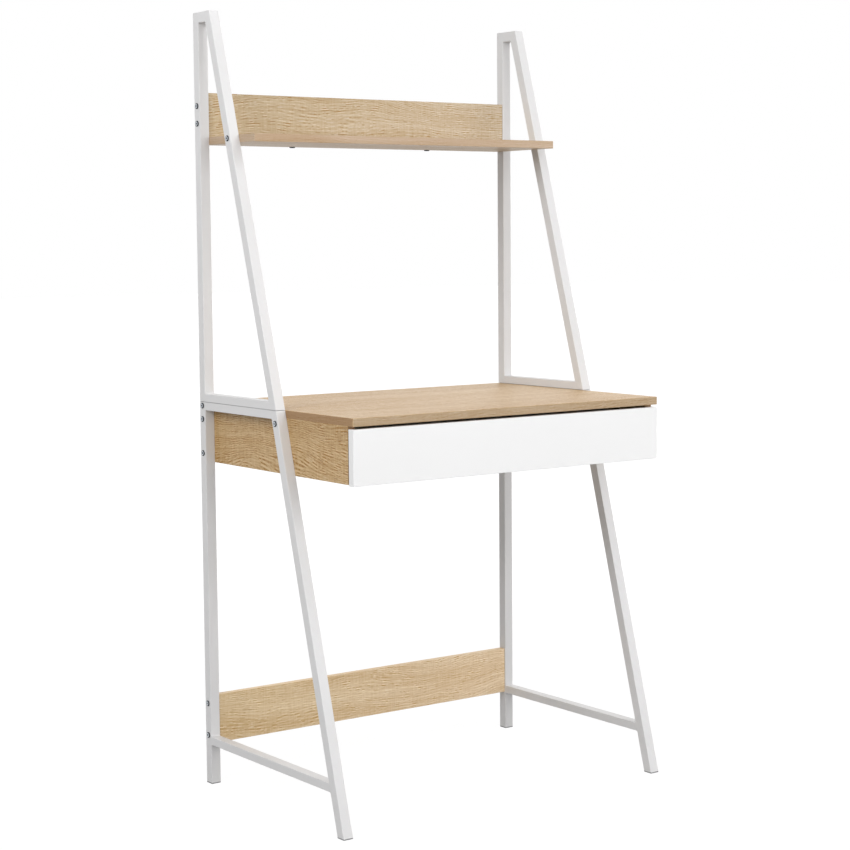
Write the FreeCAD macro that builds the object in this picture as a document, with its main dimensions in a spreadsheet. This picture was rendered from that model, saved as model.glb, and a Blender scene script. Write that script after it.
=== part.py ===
import FreeCAD, Part
import math
import os
import re
import Sketcher

# A ladder desk: two welded side frames in two storeys, oak boards bolted between them,
# and a drawer on roller runners. Millimetres, +Z up, the front faces -Y, and the origin
# is on the floor under the middle of the desk.

doc = FreeCAD.newDocument("ladder_desk")
sheet = doc.addObject("Spreadsheet::Sheet", "Dims")

sizes = [
    ("full_width", 750, "over the outer faces of the side frames"),
    ("desk_depth", 500, "front edge of the desk top to the back of the uprights"),
    ("desk_height", 750, "floor to the desk top, where the two storeys meet"),
    ("full_height", 1488, "floor to the top of the upper frames"),
    ("tube", 20, "side of the square tube"),
    ("tube_wall", 1.2, "wall of the tube"),
    ("tube_round", 1, "outside corner radius of the tube"),
    ("seam_gap", 0.6, "between the ends of the tubes where the rails of the storeys meet"),
    ("rail_rise", 16, "height of the flat tube used for the rails"),
    ("foot_front", 14, "desk front to the front face of the leg, at the floor"),
    ("seam_front", 221, "desk front to the front face of the slanted tube, where the storeys meet"),
    ("top_reach", 61, "back of the uprights to the front face of the slanted tube, at the top"),
    ("stretcher_top", 94, "floor to the top of the lower stretcher"),
    ("foot_lip", 2, "plastic foot showing under the tube"),
    ("foot_plug", 18, "plastic foot inside the tube"),
    ("foot_fit", 0.1, "clearance of the plug in the tube"),
    ("board", 15, "thickness of the boards"),
    ("edge_ease", 0.5, "eased edge of the boards"),
    ("apron_height", 103, "side and rear panels under the desk top"),
    ("shelf_drop", 233, "top of the frames down to the top of the shelf"),
    ("shelf_depth", 183.5, "front edge of the shelf to its back"),
    ("shelf_back_height", 83, "board standing along the back of the shelf"),
    ("low_panel_height", 95, "board between the uprights near the floor"),
    ("low_panel_foot", 80, "floor to the bottom of that board"),
    ("front_gap", 5, "desk top to the top of the drawer front"),
    ("front_height", 100, "drawer front"),
    ("front_thick", 15, "drawer front"),
    ("drawer_clear", 2, "drawer front to the ends of the side panels"),
    ("drawer_wall", 12, "sides and back of the drawer"),
    ("drawer_space", 67.5, "back of the drawer to the desk's rear panel"),
    ("drawer_height", 75, "drawer sides"),
    ("drawer_lift", 15, "bottom of the drawer front up to the drawer sides"),
    ("groove_rise", 8, "bottom of a drawer side up to its groove"),
    ("groove_depth", 5, "groove that holds the drawer floor"),
    ("groove_fit", 0.1, "clearance of the floor in its groove"),
    ("floor_thick", 3, "drawer floor"),
    ("runner_gap", 12.5, "space for a runner on each side of the drawer"),
    ("runner_short", 10, "how much shorter a runner is than the drawer box"),
    ("runner_inset", 2, "end of a board to the end of its runner"),
    ("runner_sheet", 1.2, "sheet steel of the runners"),
    ("runner_step", 5, "runner base up to the bottom of the drawer side"),
    ("track_flange", 10.4, "lower flange of the fixed runner"),
    ("keeper_flange", 8, "upper flange of the fixed runner"),
    ("keeper_rise", 28.2, "height of the fixed runner"),
    ("track_rise", 24, "runner base up to the flange that the front roller carries"),
    ("track_inset", 2, "side panel to the tip of that flange"),
    ("hook_flange", 11, "flange under the drawer side"),
    ("roller_diameter", 20, "runner roller"),
    ("roller_width", 6, "runner roller"),
    ("roller_play", 0.15, "roller to the flange that it runs on"),
    ("roller_inset", 14, "end of the runner to the axle"),
    ("roller_spacer", 1.2, "runner web to the roller"),
    ("roller_ease", 0.6, "eased edge of the roller"),
    ("axle_diameter", 5, "roller axle"),
    ("axle_fit", 0.05, "radial clearance of the roller on its axle"),
    ("axle_head_diameter", 8, "head that holds the roller on"),
    ("axle_head", 0.8, "thickness of that head"),
    ("screw_head_diameter", 6, "runner screw"),
    ("screw_head", 1, "thickness of the runner screw's head"),
    ("screw_diameter", 3, "shank of the runner and floor screws"),
    ("screw_reach", 9, "runner screw in the board"),
    ("screw_fit", 0.1, "radial clearance of a screw"),
    ("screw_edge", 70, "end of the runner to its first and last screw"),
    ("bolt_head_diameter", 11, "button head of the frame bolts"),
    ("bolt_head", 2, "height of the button head"),
    ("bolt_head_round", 1.3, "rounding of the button head"),
    ("bolt_diameter", 6, "frame bolts"),
    ("bolt_fit", 0.2, "radial clearance of a bolt in a tube"),
    ("bolt_reach", 12, "bolt in its nut"),
    ("socket_flats", 4, "hexagon socket across the flats"),
    ("socket_depth", 1.6, "hexagon socket"),
    ("insert_diameter", 9, "threaded insert in the boards"),
    ("insert_length", 13, "threaded insert"),
    ("insert_fit", 0.05, "radial clearance of the insert and of the bolt in it"),
    ("apron_bolt_span", 66, "between the two bolts of the desk's rear panel"),
    ("low_bolt_span", 63, "between the two bolts of the low panel"),
    ("shelf_bolt_span", 33, "between the two bolts of the shelf's back board"),
    ("side_bolt_drop", 24, "desk surface down to the bolt of a side panel"),
    ("under_bolt_span", 326, "between the two bolts under the shelf"),
    ("joint_bolt_edge", 45, "rail ends to the bolts that join the storeys"),
    ("rivet_nut_diameter", 9, "nut in the upper rail"),
    ("rivet_nut_length", 12, "nut in the upper rail"),
    ("cam_diameter", 15, "cam lock"),
    ("cam_thick", 9.5, "cam lock"),
    ("cam_fit", 0.1, "radial clearance of a cam lock, its bolt and the dowels"),
    ("cam_seat", 6, "face of the board to the middle of the cam bolt"),
    ("cam_drop", 24, "edge of the board to the middle of the cam"),
    ("cam_bolt_diameter", 7, "cam bolt"),
    ("cam_bolt_reach", 10, "cam bolt in the other board"),
    ("cam_edge", 95, "ends of a side panel to its cams"),
    ("drawer_cam_span", 30, "between the two cams of a drawer side"),
    ("dowel_diameter", 8, "wood dowel"),
    ("dowel_length", 28, "wood dowel"),
    ("dowel_reach", 10, "dowel in the desk top"),
    ("dowel_edge", 140, "ends of a side panel to its dowels"),
    ("panel_screw_head", 10, "head of the panel screws"),
    ("panel_screw_head_rise", 3, "thickness of that head"),
    ("panel_screw_diameter", 5, "shank of the panel screws"),
    ("panel_screw_reach", 32, "panel screw in the second board"),
    ("panel_screw_span", 32, "between the two panel screws of a corner"),
    ("floor_screw_span", 240, "between the screws under the drawer's back"),
    ("overrun", 1, "how far a cut passes the face that it starts from"),
]
for row, (alias, value, note) in enumerate(sizes, start=1):
    sheet.set(f"A{row}", note)
    sheet.set(f"B{row}", str(value))
    sheet.setAlias(f"B{row}", alias)
doc.recompute()

# Places worked out from the sizes, as expressions. Depths count back from the desk's front.
# The slanted tube of each storey leans by its own amount, and the two meet at the seam.
leans = {
    "lower": "((seam_front - foot_front) / desk_height)",
    "upper": "((desk_depth - top_reach - seam_front) / (full_height - desk_height))",
}
inner_half = "(full_width / 2 - tube)"
inner_span = "(full_width - 2 * tube)"
panel_half = f"({inner_half} - board)"
drawer_half = f"({panel_half} - runner_gap)"
box_half = f"({drawer_half} - drawer_wall)"
upright_front = "(desk_depth - tube)"
upright_middle = "(desk_depth - tube / 2)"
board_back = "(desk_depth - (tube - board) / 2)"
board_front = f"({board_back} - board)"
apron_top = "(desk_height - board)"
apron_foot = f"({apron_top} - apron_height)"
apron_middle = f"({apron_top} - apron_height / 2)"
panel_start = "(front_thick + drawer_clear)"
panel_length = f"({board_front} - {panel_start})"
shelf_height = "(full_height - shelf_drop)"
shelf_foot = f"({shelf_height} - board)"
shelf_middle = f"({shelf_height} - board / 2)"
shelf_back_middle = f"({shelf_height} + shelf_back_height / 2)"
shelf_front = f"({board_back} - shelf_depth)"
low_panel_middle = "(low_panel_foot + low_panel_height / 2)"
front_foot = f"({apron_top} - front_gap - front_height)"
box_foot = f"({front_foot} + drawer_lift)"
box_end = f"({board_front} - drawer_space)"
drawer_depth = f"({box_end} - front_thick)"
runner_length = f"({drawer_depth} - runner_short)"
runner_foot = f"({box_foot} - runner_step)"
groove_height = "(floor_thick + 2 * groove_fit)"
floor_foot = f"({box_foot} + groove_rise + groove_fit)"
drawer_back_rise = "(groove_rise + groove_fit + floor_thick)"
fixed_start = f"({panel_start} + runner_inset)"
moving_start = "(front_thick + runner_inset)"
side_bolt_height = "(desk_height - side_bolt_drop)"


def skew(storey):
    return f"sqrt(1 + {leans[storey]} * {leans[storey]})"


def tube_front(storey, height):
    return f"(seam_front + {leans[storey]} * ({height} - desk_height))"


def tube_middle(storey, height):
    return f"({tube_front(storey, height)} + tube * {skew(storey)} / 2)"


def tube_back(storey, height):
    return f"({tube_front(storey, height)} + tube * {skew(storey)})"


rail_start = tube_back("lower", "desk_height")

bits = {
    "+X": ("YZ_Plane", "", True),
    "-X": ("YZ_Plane", "", False),
    "+Y": ("XZ_Plane", "-", False),
    "-Y": ("XZ_Plane", "-", True),
    "+Z": ("XY_Plane", "", True),
    "-Z": ("XY_Plane", "", False),
}
directions = {
    "+X": FreeCAD.Vector(1, 0, 0),
    "-X": FreeCAD.Vector(-1, 0, 0),
    "+Y": FreeCAD.Vector(0, 1, 0),
    "-Y": FreeCAD.Vector(0, -1, 0),
    "+Z": FreeCAD.Vector(0, 0, 1),
    "-Z": FreeCAD.Vector(0, 0, -1),
}
parts = {}
rough = 1.0  # size that a sketch is drawn at before its constraints set it
hair = 1e-6  # heights closer than this are the same


def cells(text):
    return re.sub(r"\b[a-z][a-z_]*\b(?!\()", r"Dims.\g<0>", text)


def bind(thing, name, text):
    thing.setExpression(name, cells(text))


def place(thing, across, depth, height):
    bind(thing, "Placement.Base.x", across)
    bind(thing, "Placement.Base.y", f"{depth} - desk_depth / 2")
    bind(thing, "Placement.Base.z", height)


def new_body(label):
    body = doc.addObject("PartDesign::Body", label)
    body.Label = label
    return body


def new_sketch(body, role, offset="0"):
    sketch = body.newObject("Sketcher::SketchObject", "sketch")
    plane = next(item for item in body.Origin.OriginFeatures if item.Role == role)
    sketch.AttachmentSupport = [(plane, "")]
    sketch.MapMode = "FlatFace"
    if offset != "0":
        bind(sketch, "AttachmentOffset.Base.z", offset)
    return sketch


def pin_point(sketch, geometry, point, place_texts):
    kinds = (("DistanceX", -2), ("DistanceY", -1))
    for (kind, axis), text in zip(kinds, place_texts):
        if text == "0":
            sketch.addConstraint(Sketcher.Constraint("PointOnObject", geometry, point, axis))
        else:
            index = sketch.addConstraint(Sketcher.Constraint(kind, -1, 1, geometry, point, rough))
            bind(sketch, f"Constraints[{index}]", text)


def draw_outline(sketch, corners):
    count = len(corners)
    turn = 2 * math.pi / count
    middle = FreeCAD.Vector(2 * rough, 2 * rough, 0)
    ring = [middle + FreeCAD.Vector(math.cos(k * turn), math.sin(k * turn), 0) * rough
            for k in range(count)]
    for k in range(count):
        sketch.addGeometry(Part.LineSegment(ring[k], ring[(k + 1) % count]), False)
    for k in range(count):
        sketch.addConstraint(Sketcher.Constraint("Coincident", k, 2, (k + 1) % count, 1))
    for k, corner in enumerate(corners):
        pin_point(sketch, k, 1, corner)


def draw_circle(sketch, centre, diameter):
    circle = Part.Circle(FreeCAD.Vector(rough, rough, 0), directions["+Z"], rough)
    index = sketch.addGeometry(circle, False)
    pin_point(sketch, index, 3, centre)
    size = sketch.addConstraint(Sketcher.Constraint("Diameter", index, rough))
    bind(sketch, f"Constraints[{size}]", diameter)


def draw_hexagon(sketch, flats):
    count = 6
    turn = 2 * math.pi / count
    ring = [FreeCAD.Vector(math.cos(k * turn), math.sin(k * turn), 0) * rough for k in range(count)]
    for k in range(count):
        sketch.addGeometry(Part.LineSegment(ring[k], ring[(k + 1) % count]), False)
    circle = Part.Circle(FreeCAD.Vector(), directions["+Z"], rough)
    guide = sketch.addGeometry(circle, True)
    sketch.addConstraint(Sketcher.Constraint("Coincident", guide, 3, -1, 1))
    for k in range(count):
        sketch.addConstraint(Sketcher.Constraint("Coincident", k, 2, (k + 1) % count, 1))
        sketch.addConstraint(Sketcher.Constraint("PointOnObject", k, 1, guide))
    for k in range(count - 1):
        sketch.addConstraint(Sketcher.Constraint("Equal", k, k + 1))
    sketch.addConstraint(Sketcher.Constraint("PointOnObject", 0, 1, -1))
    size = sketch.addConstraint(Sketcher.Constraint("Diameter", guide, 2 * rough))
    bind(sketch, f"Constraints[{size}]", f"{flats} * 2 / sqrt(3)")


def pad(body, sketch, length, turned=False):
    feature = body.newObject("PartDesign::Pad", "pad")
    feature.Profile = sketch
    feature.Reversed = turned
    bind(feature, "Length", length)
    return feature


def cut(body, bit, depth, corners=None, centres=(), diameter="", start="0"):
    role, sign, turned = bits[bit]
    offset = start if start == "0" else f"{sign}({start})"
    sketch = new_sketch(body, role, offset)
    if corners:
        draw_outline(sketch, corners)
    for centre in centres:
        draw_circle(sketch, centre, diameter)
    feature = body.newObject("PartDesign::Pocket", "pocket")
    feature.Profile = sketch
    feature.Reversed = turned
    bind(feature, "Length", depth)


def edge_names(base, chosen):
    doc.recompute()
    return [f"Edge{k}" for k, edge in enumerate(base.Shape.Edges, start=1) if chosen(edge)]


def round_edges(body, base, radius, chosen):
    names = edge_names(base, chosen)
    feature = body.newObject("PartDesign::Fillet", "rounded")
    feature.Base = (base, names)
    bind(feature, "Radius", radius)


def ease_edges(body, base, size):
    names = edge_names(base, lambda edge: True)
    feature = body.newObject("PartDesign::Chamfer", "eased")
    feature.Base = (base, names)
    bind(feature, "Size", size)


def runs_along(axis):
    def chosen(edge):
        course = edge.tangentAt(edge.FirstParameter)
        return abs(course.dot(directions[axis])) > math.cos(math.radians(30))
    return chosen


def level_with(alias):
    height = sheet.get(alias)
    return lambda edge: all(abs(end.Z - height) < hair for end in edge.Vertexes)


def keep_pair(left):
    parts[left.Label] = left
    label = left.Label.replace("left_", "right_")
    twin = doc.addObject("Part::Mirroring", label)
    twin.Label = label
    twin.Source = left
    twin.Normal = directions["+X"]
    parts[label] = twin


def keep_group(label, pieces):
    group = doc.addObject("Part::Compound", label)
    group.Label = label
    group.Links = pieces
    parts[label] = group


def copy_of(master, point, facing, side="+X"):
    link = doc.addObject("App::Link", "copy")
    link.LinkedObject = master
    along = directions[facing]
    aside = directions[side] if abs(along.dot(directions[side])) < 1 else directions["+Z"]
    turn = FreeCAD.Rotation(aside, along.cross(aside), along, "ZXY")
    link.Placement = FreeCAD.Placement(FreeCAD.Vector(), turn)
    place(link, *point)
    return link


def both_sides(master, points, facing, side="+X"):
    other = {"+X": "-X", "-X": "+X"}.get(facing, facing)
    pieces = []
    for across, depth, height in points:
        pieces.append(copy_of(master, (f"-({across})", depth, height), facing, side))
        pieces.append(copy_of(master, (across, depth, height), other, side))
    return pieces


def box_corners(low, high):
    return [low, (high[0], low[1]), high, (low[0], high[1])]


# Side frames: square tubes with their long edges rounded, cut level at the floor and the seam.
# At the top of the frames the rounding goes on over the corners.
def rounded_on_tube(axis):
    along_tube, along_bar, at_top = runs_along(axis), runs_along("+Y"), level_with("full_height")
    return lambda edge: along_tube(edge) or (along_bar(edge) and at_top(edge))


def frame_tube(label, outer, inner, axis, bolt_holes=()):
    body = new_body(label)
    place(body, "-full_width / 2", "0", "0")
    sketch = new_sketch(body, "YZ_Plane")
    draw_outline(sketch, outer)
    solid = pad(body, sketch, "tube")
    round_edges(body, solid, "tube_round", rounded_on_tube(axis))
    cut(body, "+X", "tube - 2 * tube_wall", inner, start="tube_wall")
    if bolt_holes:
        cut(body, "+X", "tube", centres=bolt_holes, diameter="bolt_diameter + 2 * bolt_fit")
    return body


def upright(label, foot, top, inner_top, bolt_heights):
    outer = box_corners((upright_front, foot), ("desk_depth", top))
    inner = box_corners(
        (f"{upright_front} + tube_wall", f"{foot} - overrun"),
        ("desk_depth - tube_wall", inner_top),
    )
    holes = [(upright_middle, height) for height in bolt_heights]
    keep_pair(frame_tube(label, outer, inner, "+Z", holes))


def slanted_tube(label, storey, foot, top, inner_top, bolt_height):
    inner_foot = f"{foot} - overrun"
    wall = f"tube_wall * {skew(storey)}"
    outer = [
        (tube_front(storey, foot), foot),
        (tube_back(storey, foot), foot),
        (tube_back(storey, top), top),
        (tube_front(storey, top), top),
    ]
    inner = [
        (f"{tube_front(storey, inner_foot)} + {wall}", inner_foot),
        (f"{tube_back(storey, inner_foot)} - {wall}", inner_foot),
        (f"{tube_back(storey, inner_top)} - {wall}", inner_top),
        (f"{tube_front(storey, inner_top)} + {wall}", inner_top),
    ]
    hole = (tube_middle(storey, bolt_height), bolt_height)
    keep_pair(frame_tube(label, outer, inner, "+Z", [hole]))


def cross_rail(label, storey, top, rise):
    foot = f"{top} - {rise}"
    inner_foot = f"{foot} + tube_wall"
    inner_top = f"{top} - tube_wall"
    outer = [
        (tube_back(storey, foot), foot),
        (upright_front, foot),
        (upright_front, top),
        (tube_back(storey, top), top),
    ]
    inner = [
        (f"{tube_back(storey, inner_foot)} - overrun", inner_foot),
        (f"{upright_front} + overrun", inner_foot),
        (f"{upright_front} + overrun", inner_top),
        (f"{tube_back(storey, inner_top)} - overrun", inner_top),
    ]
    return frame_tube(label, outer, inner, "+Y")


joint_bolt_depths = [f"{rail_start} + joint_bolt_edge", f"{upright_front} - joint_bolt_edge"]
joint_bolt_centres = [("tube / 2", depth) for depth in joint_bolt_depths]


def spread(middle, span):
    return [f"{middle} - {span} / 2", f"{middle} + {span} / 2"]


apron_bolt_heights = spread(apron_middle, "apron_bolt_span")
low_bolt_heights = spread(low_panel_middle, "low_bolt_span")
shelf_bolt_heights = spread(shelf_back_middle, "shelf_bolt_span")
top_bolt_height = "(desk_height - board / 2)"

lower_bolts = low_bolt_heights + apron_bolt_heights + [top_bolt_height]
upright("left_lower_upright", "foot_lip", "desk_height", "desk_height + overrun", lower_bolts)
slanted_tube("left_front_leg", "lower", "foot_lip", "desk_height", "desk_height + overrun",
             side_bolt_height)
lower_rail = cross_rail("left_lower_top_rail", "lower", "desk_height", "rail_rise")
cut(lower_rail, "-Z", "2 * tube_wall", centres=joint_bolt_centres,
    diameter="bolt_diameter + 2 * bolt_fit", start="desk_height")
cut(lower_rail, "+Z", "2 * tube_wall", centres=joint_bolt_centres,
    diameter="bolt_head_diameter + 2 * bolt_fit", start="desk_height - rail_rise")
keep_pair(lower_rail)
keep_pair(cross_rail("left_stretcher", "lower", "stretcher_top", "rail_rise"))

seam_top = "(desk_height + seam_gap)"
upright("left_upper_upright", seam_top, "full_height", "full_height - tube_wall", shelf_bolt_heights)
slanted_tube("left_upper_front_tube", "upper", seam_top, "full_height", "full_height - tube_wall",
             shelf_middle)
upper_rail = cross_rail("left_upper_bottom_rail", "upper", "(desk_height + rail_rise)", "rail_rise")
cut(upper_rail, "+Z", "2 * tube_wall", centres=joint_bolt_centres,
    diameter="rivet_nut_diameter + 2 * insert_fit", start="desk_height")
keep_pair(upper_rail)
keep_pair(cross_rail("left_top_bar", "upper", "full_height", "tube"))


# Plastic feet: a lip as wide as the tube and a plug that sits inside it.
def foot(label, lip, plug):
    body = new_body(label)
    place(body, "-full_width / 2", "0", "0")
    lip_sketch = new_sketch(body, "YZ_Plane")
    draw_outline(lip_sketch, lip)
    lip_pad = pad(body, lip_sketch, "tube")
    round_edges(body, lip_pad, "tube_round", runs_along("+Z"))
    plug_sketch = new_sketch(body, "YZ_Plane", "tube_wall + foot_fit")
    draw_outline(plug_sketch, plug)
    pad(body, plug_sketch, "tube - 2 * (tube_wall + foot_fit)")
    keep_pair(body)


plug_top = "(foot_lip + foot_plug)"
plug_wall = f"(tube_wall + foot_fit) * {skew('lower')}"
foot(
    "left_rear_foot",
    box_corners((upright_front, "0"), ("desk_depth", "foot_lip")),
    box_corners(
        (f"{upright_front} + tube_wall + foot_fit", "foot_lip / 2"),
        ("desk_depth - tube_wall - foot_fit", plug_top),
    ),
)
foot(
    "left_front_foot",
    [
        (tube_front("lower", "0"), "0"),
        (tube_back("lower", "0"), "0"),
        (tube_back("lower", "foot_lip"), "foot_lip"),
        (tube_front("lower", "foot_lip"), "foot_lip"),
    ],
    [
        (f"{tube_front('lower', 'foot_lip / 2')} + {plug_wall}", "foot_lip / 2"),
        (f"{tube_back('lower', 'foot_lip / 2')} - {plug_wall}", "foot_lip / 2"),
        (f"{tube_back('lower', plug_top)} - {plug_wall}", plug_top),
        (f"{tube_front('lower', plug_top)} + {plug_wall}", plug_top),
    ],
)


# Boards: rectangular panels with eased edges and the bores for their fittings.
def board_piece(label, corner, across, depth, height):
    body = new_body(label)
    place(body, *corner)
    sketch = new_sketch(body, "XY_Plane")
    draw_outline(sketch, box_corners(("0", "0"), (across, depth)))
    solid = pad(body, sketch, height)
    ease_edges(body, solid, "edge_ease")
    return body


def bore_ends(body, centres):
    size = "insert_diameter + 2 * insert_fit"
    cut(body, "+X", "insert_length", centres=centres, diameter=size)
    cut(body, "-X", "insert_length", centres=centres, diameter=size, start=inner_span)


cam_depths = [f"{panel_start} + cam_edge", f"{board_front} - cam_edge"]
dowel_depths = [f"{panel_start} + dowel_edge", f"{board_front} - dowel_edge"]
cam_across = f"({panel_half} + cam_seat)"
bolt_bore = "cam_bolt_diameter + 2 * cam_fit"
dowel_bore = "dowel_diameter + 2 * cam_fit"

desk_top = board_piece(
    "desk_top", (f"-{inner_half}", "0", apron_top), inner_span, board_back, "board")
bore_ends(desk_top, [(upright_middle, "board / 2")])
top_sides = [f"{inner_half} - {cam_across}", f"{inner_half} + {cam_across}"]
cut(desk_top, "+Z", "cam_bolt_reach", diameter=bolt_bore,
    centres=[(across, depth) for across in top_sides for depth in cam_depths])
cut(desk_top, "+Z", "dowel_reach", diameter=dowel_bore,
    centres=[(across, depth) for across in top_sides for depth in dowel_depths])
parts["desk_top"] = desk_top

side_panel = board_piece(
    "left_side_panel", (f"-{inner_half}", panel_start, apron_foot),
    "board", panel_length, "apron_height")
panel_cams = ["cam_edge", f"{panel_length} - cam_edge"]
panel_dowels = ["dowel_edge", f"{panel_length} - dowel_edge"]
cut(side_panel, "-X", "cam_thick", diameter="cam_diameter + 2 * cam_fit", start="board",
    centres=[(depth, "apron_height - cam_drop") for depth in panel_cams])
cut(side_panel, "-Z", "cam_drop", diameter=bolt_bore, start="apron_height",
    centres=[("board - cam_seat", depth) for depth in panel_cams])
cut(side_panel, "-Z", "dowel_length - dowel_reach", diameter=dowel_bore, start="apron_height",
    centres=[("board - cam_seat", depth) for depth in panel_dowels])
cut(side_panel, "+X", "insert_length", diameter="insert_diameter + 2 * insert_fit",
    centres=[(f"{tube_middle('lower', side_bolt_height)} - {panel_start}",
              f"{side_bolt_height} - {apron_foot}")])
screw_steps = ["screw_edge", f"{runner_length} / 2", f"{runner_length} - screw_edge"]
screw_rise = "(keeper_rise / 2)"
track_screw_rise = f"((runner_step + groove_rise + {groove_height} + track_rise) / 2)"
cut(side_panel, "-X", "screw_reach", diameter="screw_diameter + 2 * screw_fit", start="board",
    centres=[(f"runner_inset + {step}", f"{runner_foot} + {screw_rise} - {apron_foot}")
             for step in screw_steps])
panel_screw_heights = spread(apron_middle, "panel_screw_span")
cut(side_panel, "-Y", "panel_screw_reach", diameter="panel_screw_diameter + 2 * screw_fit",
    start=panel_length,
    centres=[("board / 2", f"{height} - {apron_foot}") for height in panel_screw_heights])
keep_pair(side_panel)

rear_panel = board_piece(
    "desk_rear_panel", (f"-{inner_half}", board_front, apron_foot), inner_span, "board", "apron_height")
bore_ends(rear_panel, [("board / 2", f"{height} - {apron_foot}") for height in apron_bolt_heights])
corner_screws = [(across, f"{height} - {apron_foot}")
                 for across in ("board / 2", f"{inner_span} - board / 2")
                 for height in panel_screw_heights]
cut(rear_panel, "-Y", "board", centres=corner_screws, start="board",
    diameter="panel_screw_diameter + 2 * screw_fit")
cut(rear_panel, "-Y", "panel_screw_head_rise", centres=corner_screws, start="board",
    diameter="panel_screw_head + 2 * screw_fit")
parts["desk_rear_panel"] = rear_panel

shelf = board_piece(
    "shelf", (f"-{inner_half}", shelf_front, shelf_foot), inner_span, "shelf_depth", "board")
bore_ends(shelf, [(f"{tube_middle('upper', shelf_middle)} - {shelf_front}", "board / 2")])
under_bolts = spread(f"({inner_span} / 2)", "under_bolt_span")
cut(shelf, "+Z", "board", diameter="bolt_diameter + 2 * bolt_fit",
    centres=[(across, "shelf_depth - board / 2") for across in under_bolts])
parts["shelf"] = shelf

shelf_back = board_piece(
    "shelf_back_panel", (f"-{inner_half}", board_front, shelf_height), inner_span,
    "board", "shelf_back_height")
bore_ends(shelf_back, [("board / 2", f"{height} - {shelf_height}") for height in shelf_bolt_heights])
cut(shelf_back, "+Z", "insert_length", diameter="insert_diameter + 2 * insert_fit",
    centres=[(across, "board / 2") for across in under_bolts])
parts["shelf_back_panel"] = shelf_back

low_panel = board_piece(
    "lower_back_panel", (f"-{inner_half}", board_front, "low_panel_foot"), inner_span,
    "board", "low_panel_height")
bore_ends(low_panel, [("board / 2", f"{height} - low_panel_foot") for height in low_bolt_heights])
parts["lower_back_panel"] = low_panel


# Drawer: a white front on a box of thin boards, with a floor held in grooves.
back_middle = f"(({drawer_back_rise} + drawer_height) / 2)"
drawer_cam_heights = spread(back_middle, "drawer_cam_span")
cam_rises = [f"drawer_lift + {height}" for height in drawer_cam_heights]
floor_half = f"({box_half} + groove_depth - groove_fit)"

drawer_front = board_piece(
    "drawer_front", (f"-{inner_half}", "0", front_foot), inner_span, "front_thick", "front_height")
cut(drawer_front, "-Y", "groove_depth", start="front_thick",
    corners=box_corners(
        (f"{inner_half} - {box_half} - groove_depth", "drawer_lift + groove_rise"),
        (f"{inner_half} + {box_half} + groove_depth", f"drawer_lift + groove_rise + {groove_height}")))
front_cams = [f"{inner_half} - {box_half} - cam_seat", f"{inner_half} + {box_half} + cam_seat"]
cut(drawer_front, "-Y", "cam_bolt_reach", diameter=bolt_bore, start="front_thick",
    centres=[(across, rise) for across in front_cams for rise in cam_rises])
parts["drawer_front"] = drawer_front

drawer_side = board_piece(
    "left_drawer_side", (f"-{drawer_half}", "front_thick", box_foot),
    "drawer_wall", drawer_depth, "drawer_height")
cut(drawer_side, "+Y", drawer_depth,
    corners=box_corners(
        ("drawer_wall - groove_depth", "groove_rise"),
        ("drawer_wall + overrun", f"groove_rise + {groove_height}")))
cut(drawer_side, "-X", "cam_thick", diameter="cam_diameter + 2 * cam_fit", start="drawer_wall",
    centres=[("cam_drop", height) for height in drawer_cam_heights])
cut(drawer_side, "+Y", "cam_drop", diameter=bolt_bore,
    centres=[("drawer_wall - cam_seat", height) for height in drawer_cam_heights])
cut(drawer_side, "+X", "screw_reach", diameter="screw_diameter + 2 * screw_fit",
    centres=[(f"runner_inset + {step}", f"{track_screw_rise} - runner_step") for step in screw_steps])
back_screws = [(f"{drawer_depth} - drawer_wall / 2", height)
               for height in spread(back_middle, "panel_screw_span")]
cut(drawer_side, "+X", "drawer_wall", centres=back_screws,
    diameter="panel_screw_diameter + 2 * screw_fit")
cut(drawer_side, "+X", "panel_screw_head_rise", centres=back_screws,
    diameter="panel_screw_head + 2 * screw_fit")
keep_pair(drawer_side)

drawer_back = board_piece(
    "drawer_back", (f"-{box_half}", f"{box_end} - drawer_wall", f"{box_foot} + {drawer_back_rise}"),
    f"2 * {box_half}", "drawer_wall", f"drawer_height - {drawer_back_rise}")
back_bores = [("drawer_wall / 2", f"{height} - {drawer_back_rise}")
              for height in spread(back_middle, "panel_screw_span")]
pilot = "panel_screw_diameter + 2 * screw_fit"
cut(drawer_back, "+X", "panel_screw_reach", centres=back_bores, diameter=pilot)
cut(drawer_back, "-X", "panel_screw_reach", centres=back_bores, diameter=pilot, start=f"2 * {box_half}")
floor_screws = [f"{box_half} - floor_screw_span", box_half, f"{box_half} + floor_screw_span"]
cut(drawer_back, "+Z", "screw_reach", diameter="screw_diameter + 2 * screw_fit",
    centres=[(across, "drawer_wall / 2") for across in floor_screws])
parts["drawer_back"] = drawer_back

floor_start = "(front_thick - groove_depth + groove_fit)"
drawer_floor = new_body("drawer_floor")
place(drawer_floor, f"-{floor_half}", floor_start, floor_foot)
floor_sketch = new_sketch(drawer_floor, "XY_Plane")
draw_outline(floor_sketch, box_corners(("0", "0"), (f"2 * {floor_half}", f"{box_end} - {floor_start}")))
pad(drawer_floor, floor_sketch, "floor_thick")
cut(drawer_floor, "+Z", "floor_thick", diameter="screw_diameter + 2 * screw_fit",
    centres=[(f"{across} + groove_depth - groove_fit", f"{box_end} - drawer_wall / 2 - {floor_start}")
             for across in floor_screws])
parts["drawer_floor"] = drawer_floor


# Roller runners: folded steel sections, one on the side panel and one on the drawer side.
# The front roller is on the fixed runner and carries the drawer's flange. The rear roller
# is on the drawer and runs along the fixed runner's lower flange.
def runner(label, start, section):
    body = new_body(label)
    place(body, f"-{panel_half}", start, runner_foot)
    sketch = new_sketch(body, "XZ_Plane")
    draw_outline(sketch, section)
    pad(body, sketch, runner_length, True)
    return body


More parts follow.
